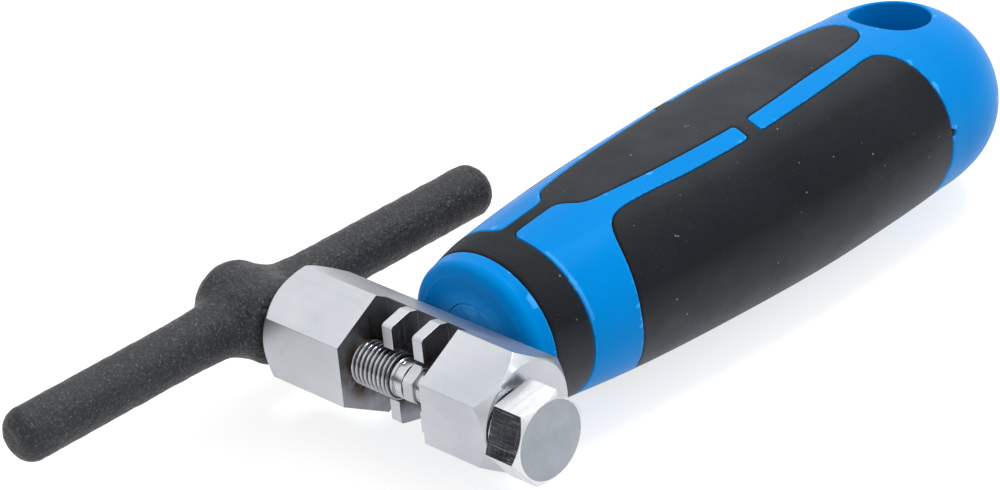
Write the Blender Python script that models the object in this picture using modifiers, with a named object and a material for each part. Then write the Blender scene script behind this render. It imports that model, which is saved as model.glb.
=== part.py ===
"""Workshop bicycle chain tool: a milled hexagonal body on a two-component handle, with a
T-bar screw that drives a pin across the chain cradle and a hexagon bolt in the exit bore.

Tool axes: X runs along the screw from the T-bar to the end bolt, Y along the handle away from
the body, Z up. Sizes are in millimetres from the middle of the hexagon bar, and MM turns them
into metres. The frame empty then moves the tool so that the origin is the bottom centre of
its box.
"""

import math

import bmesh
import bpy
from mathutils import Matrix, Vector

MM = 0.001
GAP = 0.3  # between pieces that touch
RUN = 0.05  # radial clearance of a piece that turns in its bore

# Hexagon body
HEX_AF = 19.0
BODY_LEFT, BODY_RIGHT = -28.0, 23.4
FACE_R = 9.2  # flat circle left by the turned chamfer at each end
CHAMFER = 1.95
CRADLE_HALF = 9.33  # the gap between the two cut walls is twice this
FIN_THICK, FIN_X = 2.2, (-3.46, 3.46)
SLOT_BACK_Y = 2.2
TOOTH_FRONT_Y, TOOTH_TOP_Z, TOOTH_BOTTOM_Z = -3.7, 8.9, 4.75
SEAT_Y = 1.3  # floor of the roller seat between the teeth
PIN_EXIT_R, PIN_EXIT_END = 2.4, 12.2

# Screw, which lies in front of the bar's own axis
SCREW_Y = -3.0
THREAD_R, THREAD_DEPTH, PITCH = 3.93, 0.42, 1.0
THREAD_STEPS, RINGS_A_TURN = 14, 4
SPINDLE_START, THREAD_END, NECK_END = -39.6, -1.65, 1.35
NECK_R, NOSE_R = 3.25, 2.5
HOLDER_AF, HOLDER_END, CONE_END, CONE_TIP_R = 6.0, 3.75, 5.7, 2.35
HOLDER_SHANK_R, HOLDER_BACK = 2.2, -3.4
PIN_R, PIN_TIP, PIN_HEAD_R, PIN_HEAD_THICK = 1.6, 9.5, 2.1, 1.2

# T-bar
ARM_X, ARM_R, ARM_LOW_Y, ARM_HIGH_Y, ARM_END_ROUND = -37.7, 4.8, -54.6, 51.5, 3.8
BOSS_R, BOSS_LEFT, BOSS_RIGHT, BOSS_ROUND = 7.5, -46.3, -29.2, 4.4
FLARE_R, FLARE_HALF_LENGTH = 5.9, 13.0

# End bolt, turned by BOLT_TURN degrees from the body's flats, and the spare pin in its shank
BOLT_AF, BOLT_TURN, BOLT_SHOULDER_R = 14.0, 8.5, 6.1
BOLT_SHOULDER, BOLT_HEAD, BOLT_FACE, BOLT_FACE_R = 23.7, 24.7, 31.4, 6.8
BOLT_END, BOLT_BORE_R, BOLT_BORE_END = 13.2, 2.2, 25.2
SPARE_START, SPARE_END = 13.6, 24.8

# Handle
HANDLE_FRONT, HANDLE_END, DOME_START = 12.0, 135.2, 114.0
HANDLE_STEPS, HANDLE_RINGS, DOME_RINGS = 52, 16, 9
FRONT_FACE_R, FRONT_ROUND = 12.2, 1.9
BARREL = (
    (14.0, 14.15),
    (18.0, 15.1),
    (22.0, 15.8),
    (38.0, 17.5),
    (60.0, 18.75),
    (82.0, 19.35),
    (100.0, 18.95),
)
DOME_R, DOME_POWER = 18.3, 2.5
# The handle is oval: (distance along it, width and height as shares of the round radius)
OVAL = (
    (12.0, 1.06, 0.97),
    (24.0, 1.10, 0.95),
    (100.0, 1.10, 0.95),
    (120.0, 1.09, 0.955),
    (135.2, 1.06, 0.97),
)
HANDLE_ROLL = math.radians(-6.0)  # how it sits, screwed tight on the body
TANG_R, TANG_START, TANG_END = 4.0, 4.0, 70.0
PLUG_R, PLUG_THICK = 6.5, 4.0
HOLE_R, HOLE_Y = 7.3, 118.0

# Rubber grip: it is let into the core over these zones
GRIP_DEPTH = 1.8
BAND_Y = (15.7, 22.3)
BRIDGE_Y = (68.9, 72.1)
SIDE_Y, SIDE_HALF_Z, SIDE_CORNER = (32.2, 110.1), 14.9, 4.5
TOP_OUTLINE = ((1.5, 31.0), (4.8, 36.5), (7.7, 51.0), (9.1, 72.0), (8.1, 90.0), (6.9, 101.0))
TOP_END_Y = 108.2

HANDLE_HALF_HEIGHT = 18.41
FRAME_SHIFT = Vector(
    (
        -(BOSS_LEFT + BOLT_FACE) / 2,
        -(ARM_LOW_Y + HANDLE_END) / 2,
        HANDLE_HALF_HEIGHT,
    )
)

STEEL = ("satin_steel", (0.62, 0.63, 0.65), 0.38, 1.0)
BRIGHT = ("bright_steel", (0.70, 0.71, 0.73), 0.22, 1.0)
COATED = ("black_coating", (0.035, 0.037, 0.042), 0.62, 0.0)
BLUE = ("blue_plastic", (0.0, 0.27, 0.80), 0.38, 0.0)
RUBBER = ("black_rubber", (0.028, 0.030, 0.036), 0.70, 0.0)

TURN_TO_X = Matrix.Rotation(math.pi / 2, 4, "Y")
TURN_TO_Y = Matrix.Rotation(-math.pi / 2, 4, "X")


def clear_scene():
    for item in list(bpy.data.objects):
        bpy.data.objects.remove(item, do_unlink=True)


def collection(name, helper=False):
    found = bpy.data.collections.new(name)
    bpy.context.scene.collection.children.link(found)
    found.hide_render = helper
    return found


def material(name, colour, roughness, metallic):
    """The Principled material of that name, made once."""
    found = bpy.data.materials.get(name)
    if found:
        return found
    made = bpy.data.materials.new(name)
    made.use_nodes = True
    shader = made.node_tree.nodes["Principled BSDF"]
    shader.inputs["Base Color"].default_value = (*colour, 1.0)
    shader.inputs["Roughness"].default_value = roughness
    shader.inputs["Metallic"].default_value = metallic
    made.diffuse_color = (*colour, 1.0)
    return made


def place(name, mesh, looks=None, at=(0.0, 0.0, 0.0), turn=None):
    """An object of the tool at a point in millimetres; one with no looks is a cutter."""
    item = bpy.data.objects.new(name, mesh)
    item.parent = FRAME
    item.matrix_basis = Matrix.Translation(Vector(at) * MM) @ (turn or Matrix.Identity(4))
    if looks:
        TOOL.objects.link(item)
        item.data.materials.clear()
        item.data.materials.append(material(*looks))
    else:
        CUTTERS.objects.link(item)
        item.hide_render = True
        item.display_type = "WIRE"
    return item


def evaluated_mesh(item):
    """The item's mesh with its modifiers applied and its seams welded."""
    bpy.context.view_layer.update()
    graph = bpy.context.evaluated_depsgraph_get()
    mesh = bpy.data.meshes.new_from_object(item.evaluated_get(graph))
    work = bmesh.new()
    work.from_mesh(mesh)
    bmesh.ops.remove_doubles(work, verts=work.verts, dist=1e-6)
    bmesh.ops.recalc_face_normals(work, faces=work.faces)
    work.to_mesh(mesh)
    work.free()
    return mesh


def turned(name, profile, axis, looks=None, at=(0.0, 0.0, 0.0), steps=48, closed=False):
    """A turned piece. profile holds (distance along the axis, radius), from low to high.

    A closed profile goes up its inner side and back down its outer side.
    """
    points = [(radius * MM, 0.0, along * MM) for along, radius in reversed(profile)]
    if closed:
        points = points[::-1]
    edges = [(i, i + 1) for i in range(len(points) - 1)]
    if closed:
        edges.append((len(points) - 1, 0))
    mesh = bpy.data.meshes.new(name)
    mesh.from_pydata(points, edges, [])
    item = place(name, mesh, looks, at, TURN_TO_X if axis == "X" else TURN_TO_Y)
    screw = item.modifiers.new("Turn", "SCREW")
    screw.steps = screw.render_steps = steps
    screw.use_merge_vertices = True
    screw.merge_threshold = 1e-6
    screw.use_smooth_shade = False
    return item


def box(name, low, high):
    """A box-shaped cutter between two corners."""
    low, high = Vector(low), Vector(high)
    mesh = bpy.data.meshes.new(name)
    work = bmesh.new()
    bmesh.ops.create_cube(work, size=1.0)
    bmesh.ops.scale(work, vec=(high - low) * MM, verts=work.verts)
    work.to_mesh(mesh)
    work.free()
    return place(name, mesh, at=(low + high) / 2)


def rod(name, radius, axis, start, end, at=(0.0, 0.0, 0.0), sides=48, looks=None, turn=0.0):
    """A straight rod, or with few sides a bar, between two distances along its axis.

    On a rod along X a corner stands at +Y, and turn moves it towards +Z.
    """
    mesh = bpy.data.meshes.new(name)
    work = bmesh.new()
    bmesh.ops.create_cone(
        work,
        cap_ends=True,
        segments=sides,
        radius1=radius * MM,
        radius2=radius * MM,
        depth=(end - start) * MM,
        matrix=Matrix.Translation((0.0, 0.0, (start + end) / 2 * MM)),
    )
    work.to_mesh(mesh)
    work.free()
    turns = {"X": TURN_TO_X, "Y": TURN_TO_Y, "Z": Matrix.Identity(4)}[axis]
    spin = Matrix.Rotation(math.radians(turn), 4, "Z")
    return place(name, mesh, looks, at, turns @ spin)


def prism(name, outline, axis, low, high, looks=None):
    """A flat outline extruded along X, as (y, z) points, or along Z, as (x, y) points."""
    curve = bpy.data.curves.new(name, "CURVE")
    curve.dimensions = "2D"
    curve.fill_mode = "BOTH"
    curve.extrude = (high - low) / 2 * MM
    spline = curve.splines.new("POLY")
    spline.points.add(len(outline) - 1)
    for point, (across, up) in zip(spline.points, outline):
        point.co = (across * MM, up * MM, 0.0, 1.0)
    spline.use_cyclic_u = True
    middle = (low + high) / 2
    if axis == "X":
        turn = Matrix(((0, 0, 1, 0), (1, 0, 0, 0), (0, 1, 0, 0), (0, 0, 0, 1)))
        at = (middle, 0.0, 0.0)
    else:
        turn = Matrix.Identity(4)
        at = (0.0, 0.0, middle)
    drawn = bpy.data.objects.new(name + "_outline", curve)
    CUTTERS.objects.link(drawn)
    mesh = evaluated_mesh(drawn)
    bpy.data.objects.remove(drawn, do_unlink=True)
    return place(name, mesh, looks, at, turn)


def combine(item, others, operation):
    """Adds one exact Boolean for each of the others."""
    for other in others:
        step = item.modifiers.new(operation.title() + " " + other.name, "BOOLEAN")
        step.operation = operation
        step.solver = "EXACT"
        step.object = other
    return item


def shade(item, degrees=35.0):
    """Smooth shading on round stretches, with sharp edges kept."""
    for face in item.data.polygons:
        face.use_smooth = True
    item.data.set_sharp_from_angle(angle=math.radians(degrees))


def bake(item):
    """Replaces the object's mesh by its evaluated one and shades it."""
    looks = item.data.materials[0]
    item.data = evaluated_mesh(item)
    item.modifiers.clear()
    item.data.materials.clear()
    item.data.materials.append(looks)
    shade(item)
    return item


def hex_radius(across_flats):
    return across_flats / math.sqrt(3)


def cut_thread(item, start, end):
    """Winds a V thread into a turned piece whose rings are a quarter of a pitch apart."""
    for vertex in item.data.vertices:
        along = vertex.co.z / MM
        radius = math.hypot(vertex.co.x, vertex.co.y) / MM
        if not start < along < end or radius < THREAD_R - 0.01:
            continue
        angle = math.atan2(vertex.co.y, vertex.co.x) / (2 * math.pi)
        turns = (along / PITCH - angle) % 1.0
        depth = THREAD_DEPTH * (1.0 - abs(2.0 * turns - 1.0))
        fade = min(1.0, (end - along) / PITCH, (along - start) / PITCH)
        scale = (radius - depth * fade) / radius
        vertex.co.x *= scale
        vertex.co.y *= scale


def thread_profile(start, end):
    rings = round((end - start) / PITCH * RINGS_A_TURN)
    return [(start + (end - start) * i / rings, THREAD_R) for i in range(rings + 1)]


def barrel_radius(along):
    """The handle's radius: a smooth curve through BARREL, then the rounded end."""
    if along >= DOME_START:
        reach = min(1.0, (along - DOME_START) / (HANDLE_END - DOME_START))
        return DOME_R * (1.0 - reach**DOME_POWER) ** (1.0 / DOME_POWER)
    knots = (*BARREL, (DOME_START, DOME_R), (2 * DOME_START - BARREL[-1][0], 2 * DOME_R - BARREL[-1][1]))
    i = max(k for k in range(len(knots) - 2) if along >= knots[k][0] or k == 0)
    before = knots[i - 1] if i else (2 * knots[0][0] - knots[1][0], 2 * knots[0][1] - knots[1][1])
    (y0, r0), (y1, r1), (y2, r2), (y3, r3) = before, knots[i], knots[i + 1], knots[i + 2]
    slope1 = (r2 - r0) / (y2 - y0)
    slope2 = (r3 - r1) / (y3 - y1)
    span = y2 - y1
    t = (along - y1) / span
    ease = t * t * (3 - 2 * t)
    return (
        r1 * (1 - ease)
        + r2 * ease
        + span * (slope1 * t * (1 - t) ** 2 - slope2 * t * t * (1 - t))
    )


def make_oval(item):
    """Turns a baked round solid of the handle into its oval, keeping its place along the axis."""
    item.data = evaluated_mesh(item)
    item.modifiers.clear()
    for vertex in item.data.vertices:
        along = vertex.co.z / MM
        after = next((i for i, knot in enumerate(OVAL) if along < knot[0]), len(OVAL) - 1)
        (y0, wide0, tall0), (y1, wide1, tall1) = OVAL[max(after, 1) - 1], OVAL[max(after, 1)]
        share = min(1.0, max(0.0, (along - y0) / (y1 - y0)))
        vertex.co.x *= wide0 + (wide1 - wide0) * share
        vertex.co.y *= tall0 + (tall1 - tall0) * share
    return item


def roll(item):
    """Turns a baked piece of the handle about the handle's own axis."""
    item.data.transform(Matrix.Rotation(HANDLE_ROLL, 4, "Z"))
    return item


def barrel_profile(low, high, rings, inset=0.0):
    spread = (high - low) / rings
    return [(low + spread * i, barrel_radius(low + spread * i) - inset) for i in range(rings + 1)]


def tool_body():
    """The hexagon bar with turned ends, the milled cradle, its two toothed fins and the bores."""
    start, end = BODY_LEFT - 1, BODY_RIGHT + 1
    body = rod("tool_body", hex_radius(HEX_AF), "X", start, end, sides=6, looks=STEEL, turn=30)
    corner = hex_radius(HEX_AF) + 0.2
    slope = (corner - FACE_R) / (hex_radius(HEX_AF) - FACE_R) * CHAMFER
    ends = turned(
        "turned_ends",
        [
            (BODY_LEFT, 0.0),
            (BODY_LEFT, FACE_R),
            (BODY_LEFT + slope, corner),
            (BODY_RIGHT - slope, corner),
            (BODY_RIGHT, FACE_R),
            (BODY_RIGHT, 0.0),
        ],
        "X",
        steps=64,
    )
    cradle = box("cradle_cut", (-CRADLE_HALF, -20.0, -20.0), (CRADLE_HALF, SLOT_BACK_Y, 20.0))
    combine(body, [cradle], "DIFFERENCE")
    upper = [
        (SLOT_BACK_Y + 1.2, 8.6),
        (SLOT_BACK_Y + 0.1, 9.55),
        (0.6, 10.0),
        (TOOTH_FRONT_Y + 0.4, TOOTH_TOP_Z + 0.15),
        (TOOTH_FRONT_Y, TOOTH_TOP_Z - 0.25),
        (TOOTH_FRONT_Y, TOOTH_BOTTOM_Z + 0.1),
        (TOOTH_FRONT_Y + 0.1, TOOTH_BOTTOM_Z),
        (SEAT_Y - 1.0, TOOTH_BOTTOM_Z - 0.2),
        (SEAT_Y, TOOTH_BOTTOM_Z - 1.2),
    ]
    outline = upper + [(y, -z) for y, z in reversed(upper)]
    for number, middle in enumerate(FIN_X, 1):
        low, high = middle - FIN_THICK / 2, middle + FIN_THICK / 2
        combine(body, [prism(f"fin_{number}", outline, "X", low, high)], "UNION")
    screw = (0.0, SCREW_Y, 0.0)
    bore_r = THREAD_R + RUN
    combine(
        body,
        [
            rod("spindle_bore", bore_r, "X", BODY_LEFT - 2, -CRADLE_HALF + 2, screw),
            rod("pin_exit", PIN_EXIT_R, "X", CRADLE_HALF - 2, PIN_EXIT_END + 1, screw, sides=32),
            rod("bolt_bore", bore_r, "X", PIN_EXIT_END, BODY_RIGHT + 2, screw),
            rod("tang_hole", TANG_R + GAP, "Y", TANG_START - GAP, HEX_AF, sides=32),
        ],
        "DIFFERENCE",
    )
    combine(body, [ends], "INTERSECT")
    return bake(body)


def spindle():
    """The threaded screw with its smooth neck and the blind bore that takes the pin holder."""
    profile = [(SPINDLE_START, 0.0), (SPINDLE_START, THREAD_R - 0.5)]
    profile += thread_profile(SPINDLE_START + 0.5, THREAD_END)
    profile += [
        (THREAD_END + 0.35, NECK_R),
        (THREAD_END + 1.0, NECK_R),
        (THREAD_END + 1.15, NECK_R - 0.25),
        (THREAD_END + 1.6, NECK_R - 0.25),
        (THREAD_END + 1.75, NECK_R),
        (NECK_END, NECK_R),
        (NECK_END, NOSE_R),
        (HOLDER_BACK - PIN_HEAD_THICK - 2 * GAP, NOSE_R),
        (HOLDER_BACK - PIN_HEAD_THICK - 2 * GAP, 0.0),
    ]
    screw = turned("spindle", profile, "X", BRIGHT, (0.0, SCREW_Y, 0.0), steps=THREAD_STEPS)
    bake(screw)
    cut_thread(screw, BOSS_RIGHT - 2.0, THREAD_END)
    return screw


def pin_holder():
    """The hexagon cap screwed into the spindle's nose, with a cone and a bore for the pin."""
    at = (0.0, SCREW_Y, 0.0)
    start = NECK_END + GAP
    radius = hex_radius(HOLDER_AF)
    holder = rod("pin_holder", radius, "X", start, HOLDER_END, at, 6, BRIGHT, turn=30)
    cone = turned(
        "holder_cone",
        [
            (HOLDER_BACK, 0.0),
            (HOLDER_BACK, HOLDER_SHANK_R),
            (HOLDER_END - 0.5, HOLDER_SHANK_R),
            (HOLDER_END - 0.4, HOLDER_AF / 2 - 0.1),
            (HOLDER_END + 0.2, HOLDER_AF / 2 - 0.1),
            (CONE_END, CONE_TIP_R),
            (CONE_END, 0.0),
        ],
        "X",
        at=at,
        steps=32,
    )
    combine(holder, [cone], "UNION")
    bore = rod("holder_bore", PIN_R + RUN + 0.02, "X", HOLDER_BACK - 1, CONE_END + 1, at, 32)
    combine(holder, [bore], "DIFFERENCE")
    return bake(holder)


def drive_pin():
    """The hardened pin; its head sits behind the holder in the spindle's nose."""
    head_front = HOLDER_BACK - GAP
    profile = [
        (head_front - PIN_HEAD_THICK, 0.0),
        (head_front - PIN_HEAD_THICK, PIN_HEAD_R),
        (head_front, PIN_HEAD_R),
        (head_front, PIN_R),
        (PIN_TIP - 0.3, PIN_R),
        (PIN_TIP, PIN_R - 0.3),
        (PIN_TIP, 0.0),
    ]
    return bake(turned("drive_pin", profile, "X", BRIGHT, (0.0, SCREW_Y, 0.0), steps=32))


def rounded_end(centre, radius, corner, side, count=6):
    """Profile points of an end face with a rounded edge; side is -1 for the low end."""
    points = []
    for i in range(count + 1):
        angle = math.pi / 2 * i / count
        points.append(
            (
                centre + side * corner * math.cos(angle),
                radius - corner + corner * math.sin(angle),
            )
        )
    return points if side < 0 else points[::-1]


def t_bar():
    """The coated T-bar: two round arms and a closed boss that takes the spindle's end."""
    arms_profile = [(ARM_LOW_Y, 0.0)]
    arms_profile += rounded_end(ARM_LOW_Y + ARM_END_ROUND, ARM_R, ARM_END_ROUND, -1)
    arms_profile += rounded_end(ARM_HIGH_Y - ARM_END_ROUND, ARM_R, ARM_END_ROUND, 1)
    arms_profile += [(ARM_HIGH_Y, 0.0)]
    bar = turned(
        "t_bar",
        [(y - SCREW_Y, radius) for y, radius in arms_profile],
        "Y",
        COATED,
        (ARM_X, SCREW_Y, 0.0),
        steps=40,
    )
    boss_profile = [(BOSS_LEFT, 0.0)]
    boss_profile += rounded_end(BOSS_LEFT + BOSS_ROUND, BOSS_R, BOSS_ROUND, -1)
    boss_profile += [(BOSS_RIGHT - 0.6, BOSS_R), (BOSS_RIGHT, BOSS_R - 0.6), (BOSS_RIGHT, 0.0)]
    boss = turned("boss", boss_profile, "X", at=(0.0, SCREW_Y, 0.0), steps=48)
    flare_profile = [
        (FLARE_HALF_LENGTH * math.sin(angle), FLARE_R * math.cos(angle))
        for angle in (math.pi / 2 * i / 8 for i in range(-8, 9))
    ]
    flare = turned("arm_flare", flare_profile, "Y", at=(ARM_X, SCREW_Y, 0.0), steps=40)
    combine(bar, [flare, boss], "UNION")
    socket = rod(
        "spindle_socket",
        THREAD_R + GAP,
        "X",
        SPINDLE_START - GAP,
        BOSS_RIGHT + 2,
        (0.0, SCREW_Y, 0.0),
    )
    combine(bar, [socket], "DIFFERENCE")
    return bake(bar)


def end_bolt():
    """The hexagon bolt that closes the exit bore; its hollow shank holds the spare pin."""
    at = (0.0, SCREW_Y, 0.0)
    head = rod(
        "end_bolt", hex_radius(BOLT_AF), "X", BOLT_HEAD, BOLT_FACE + 1, at, 6, BRIGHT, BOLT_TURN
    )
    corner = hex_radius(BOLT_AF) + 0.2
    chamfer = turned(
        "bolt_chamfer",
        [
            (BOLT_HEAD - 1.0, 0.0),
            (BOLT_HEAD - 1.0, corner),
            (BOLT_FACE - 1.05, corner),
            (BOLT_FACE, BOLT_FACE_R),
            (BOLT_FACE, 0.0),
        ],
        "X",
        at=at,
        steps=64,
    )
    combine(head, [chamfer], "INTERSECT")
    shank_profile = [(BOLT_END, 0.0), (BOLT_END, THREAD_R - 0.5)]
    shank_profile += thread_profile(BOLT_END + 0.5, BOLT_SHOULDER - 0.6)
    shank_profile += [
        (BOLT_SHOULDER, THREAD_R - 0.3),
        (BOLT_SHOULDER, BOLT_SHOULDER_R),
        (BOLT_HEAD + 1.0, BOLT_SHOULDER_R),
        (BOLT_HEAD + 1.0, 0.0),
    ]
    shank = turned("bolt_shank", shank_profile, "X", at=at, steps=THREAD_STEPS)
    shank.data = evaluated_mesh(shank)
    shank.modifiers.clear()
    cut_thread(shank, BOLT_END + 0.4, BOLT_SHOULDER - 0.6)
    combine(head, [shank], "UNION")
    bore = rod("bolt_hollow", BOLT_BORE_R, "X", BOLT_END - 1, BOLT_BORE_END, at, 32)
    combine(head, [bore], "DIFFERENCE")
    return bake(head)


def spare_pin():
    """A spare drive pin, stored head first in the bolt's hollow shank."""
    head = SPARE_END - PIN_HEAD_THICK
    profile = [
        (SPARE_START, 0.0),
        (SPARE_START, PIN_R - 0.3),
        (SPARE_START + 0.3, PIN_R),
        (head, PIN_R),
        (head, PIN_HEAD_R - 0.2),
        (SPARE_END, PIN_HEAD_R - 0.2),
        (SPARE_END, 0.0),
    ]
    return bake(turned("spare_pin", profile, "X", BRIGHT, (0.0, SCREW_Y, 0.0), steps=24))


def side_outline(grow):
    """The side panel seen along X, as (y, z), with rounded corners; grow moves its edge out."""
    low, high = SIDE_Y[0] - grow, SIDE_Y[1] + grow
    half, corner = SIDE_HALF_Z + grow, SIDE_CORNER
    points = []
    for y, z, start in (
        (high - 2 * corner, half - corner, 0),
        (low + corner, half - corner, 90),
        (low + corner, corner - half, 180),
        (high - 2 * corner, corner - half, 270),
    ):
        stretch = 2.0 if start in (0, 270) else 1.0
        for i in range(6):
            angle = math.radians(start + 18 * i)
            points.append((y + stretch * corner * math.cos(angle), z + corner * math.sin(angle)))
    return points


def top_outline(grow):
    """The top panel and its neck seen from above, as (x, y)."""
    side = [(TOP_OUTLINE[0][0] + grow, BAND_Y[0] + 2.0)]
    side += [(x + grow, y) for x, y in TOP_OUTLINE]
    width, end_y = side[-1]
    depth = TOP_END_Y + grow - end_y
    for i in range(1, 7):
        angle = math.pi / 2 * i / 6
        side.append((width * math.cos(angle), end_y + depth * math.sin(angle)))
    return side + [(-x, y) for x, y in reversed(side[:-1])]


def grip_zones(name, grow):
    """The parts of the handle's surface that are rubber, as one cutter."""
    zones = rod(name + "_band", 30.0, "Y", BAND_Y[0] - grow, BAND_Y[1] + grow, sides=24)
    bridge = rod(name + "_bridge", 29.0, "Y", BRIDGE_Y[0] - grow, BRIDGE_Y[1] + grow, sides=24)
    top = prism(name + "_top", top_outline(grow), "Z", -28.0, 28.0)
    sides = prism(name + "_sides", side_outline(grow), "X", -27.0, 27.0)
    return combine(zones, [bridge, top, sides], "UNION")


def grip_shell(name, low, high, inner, outer, looks=None):
    """A tube that follows the handle's surface, between two insets from it."""
    outside = barrel_profile(low, high, HANDLE_RINGS, outer)
    inside = barrel_profile(low, high, HANDLE_RINGS, inner)
    return turned(name, inside + outside[::-1], "Y", looks, steps=HANDLE_STEPS, closed=True)


def rubber_grip():
    """The overmould: band, necks, top and bottom panels, bridges and side panels in one."""
    shell = grip_shell("rubber_grip", BAND_Y[0], SIDE_Y[1], GRIP_DEPTH - GAP, 0.0, RUBBER)
    make_oval(shell)
    combine(shell, [grip_zones("grip", 0.0)], "INTERSECT")
    return roll(bake(shell))


def handle_core():
    """The hard plastic handle with the recess for the rubber, the tang bore and the hole."""
    front = rounded_end(HANDLE_FRONT + FRONT_ROUND, FRONT_FACE_R + FRONT_ROUND, FRONT_ROUND, -1)
    profile = [(HANDLE_FRONT, 0.0)]
    profile += front
    profile += barrel_profile(HANDLE_FRONT + FRONT_ROUND + 2.0, DOME_START, HANDLE_RINGS)
    for i in range(1, DOME_RINGS):
        reach = math.sin(math.pi / 2 * i / DOME_RINGS)
        along = DOME_START + (HANDLE_END - DOME_START) * reach
        profile.append((along, barrel_radius(along)))
    profile += [(HANDLE_END, 0.0)]
    core = make_oval(turned("handle_core", profile, "Y", BLUE, steps=HANDLE_STEPS))
    recess = make_oval(grip_shell("grip_recess", BAND_Y[0] - 1.2, SIDE_Y[1] + 2, GRIP_DEPTH, -4.0))
    combine(recess, [grip_zones("recess", GAP)], "INTERSECT")
    front_recess = HANDLE_FRONT + PLUG_THICK + GAP
    cuts = [
        recess,
        rod("tang_bore", TANG_R + GAP, "Y", HANDLE_FRONT - 1, TANG_END + GAP, sides=32),
        rod("plug_recess", PLUG_R + GAP, "Y", HANDLE_FRONT - 1, front_recess, sides=40),
    ]
    combine(core, cuts, "DIFFERENCE")
    core = roll(bake(core))
    hole = rod("hanging_hole", HOLE_R, "Z", -30.0, 30.0, (0.0, HOLE_Y, 0.0), sides=40)
    combine(core, [hole], "DIFFERENCE")
    return bake(core)


def handle_plug():
    """The round insert round the tang in the handle's front face."""
    plug = rod("handle_plug", PLUG_R, "Y", HANDLE_FRONT, HANDLE_FRONT + PLUG_THICK, looks=BLUE)
    bore = rod("plug_bore", TANG_R + GAP, "Y", HANDLE_FRONT - 1, HANDLE_FRONT + 9, sides=32)
    combine(plug, [bore], "DIFFERENCE")
    return bake(plug)


def handle_tang():
    """The steel stud screwed into the body's back flat, which carries the handle."""
    profile = [
        (TANG_START, 0.0),
        (TANG_START, TANG_R - 0.5),
        (TANG_START + 0.5, TANG_R),
        (TANG_END - 1.0, TANG_R),
        (TANG_END, TANG_R - 1.0),
        (TANG_END, 0.0),
    ]
    return bake(turned("handle_tang", profile, "Y", STEEL, steps=32))


clear_scene()
TOOL = collection("chain_tool")
CUTTERS = collection("cutters", helper=True)
FRAME = bpy.data.objects.new("frame", None)
FRAME.location = FRAME_SHIFT * MM
TOOL.objects.link(FRAME)

tool_body()
spindle()
pin_holder()
drive_pin()
t_bar()
end_bolt()
spare_pin()
handle_tang()
handle_plug()
handle_core()
rubber_grip()
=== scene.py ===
"""The looks of the workshop chain tool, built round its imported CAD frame.

Design coordinates are millimetres from the middle of the hexagon bar: X runs along the screw from
the T-bar to the end bolt, Y along the handle away from the bar, Z up. ORIGIN is that point in the
frame, taken from the boxes of the CAD nodes.
"""

import math

import bmesh
import bpy
import numpy as np
from mathutils import Matrix, Vector


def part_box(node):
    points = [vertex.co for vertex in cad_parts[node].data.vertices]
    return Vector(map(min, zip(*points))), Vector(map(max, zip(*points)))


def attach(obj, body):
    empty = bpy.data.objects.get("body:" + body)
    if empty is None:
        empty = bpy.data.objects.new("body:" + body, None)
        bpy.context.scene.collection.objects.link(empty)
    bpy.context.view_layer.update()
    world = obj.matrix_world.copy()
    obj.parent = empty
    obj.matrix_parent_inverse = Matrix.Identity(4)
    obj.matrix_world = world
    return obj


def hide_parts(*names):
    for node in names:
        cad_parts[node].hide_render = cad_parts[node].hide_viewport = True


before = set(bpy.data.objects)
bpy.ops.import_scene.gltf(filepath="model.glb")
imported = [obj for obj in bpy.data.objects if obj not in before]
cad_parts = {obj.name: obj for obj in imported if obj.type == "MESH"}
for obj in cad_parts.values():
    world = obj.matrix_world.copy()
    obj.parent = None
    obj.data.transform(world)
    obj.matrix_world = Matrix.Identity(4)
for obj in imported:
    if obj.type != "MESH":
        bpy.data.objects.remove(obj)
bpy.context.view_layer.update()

MM = 0.001


def middle(node):
    low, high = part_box(node)
    return (low + high) / 2


ORIGIN = Vector((middle("handle_core").x, middle("tool_body").y, middle("tool_body").z))


def edge(node, axis, side):
    """Where a node's box ends, in design millimetres; side is 0 for the low end and 1 for the high."""
    return (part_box(node)[side][axis] - ORIGIN[axis]) / MM


# ---- sizes, from the frame

BODY_LEFT, BODY_RIGHT = edge("tool_body", 0, 0), edge("tool_body", 0, 1)
HEX_AF = 2 * edge("tool_body", 1, 1)
SCREW_Y = (middle("spindle").y - ORIGIN.y) / MM
SCREW_AXIS = (0.0, SCREW_Y, 0.0)
SPINDLE_START, NECK_END = edge("spindle", 0, 0), edge("spindle", 0, 1)
THREAD_R = edge("spindle", 2, 1)
HOLDER_BACK, CONE_END = edge("pin_holder", 0, 0), edge("pin_holder", 0, 1)
PIN_START, PIN_TIP = edge("drive_pin", 0, 0), edge("drive_pin", 0, 1)
ARM_LOW_Y, ARM_HIGH_Y = edge("t_bar", 1, 0), edge("t_bar", 1, 1)
BOSS_LEFT, BOSS_RIGHT = edge("t_bar", 0, 0), edge("t_bar", 0, 1)
BOLT_END, BOLT_FACE = edge("end_bolt", 0, 0), edge("end_bolt", 0, 1)
HANDLE_FRONT, HANDLE_END = edge("handle_core", 1, 0), edge("handle_core", 1, 1)
PLUG_R = edge("handle_plug", 2, 1)

# Sizes that boxes don't show, the same as in the CAD source
FACE_R, CHAMFER = 9.2, 1.95
CRADLE_HALF, SLOT_BACK_Y = 9.33, 2.2
FIN_THICK, FIN_X = 2.2, (-3.46, 3.46)
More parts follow.
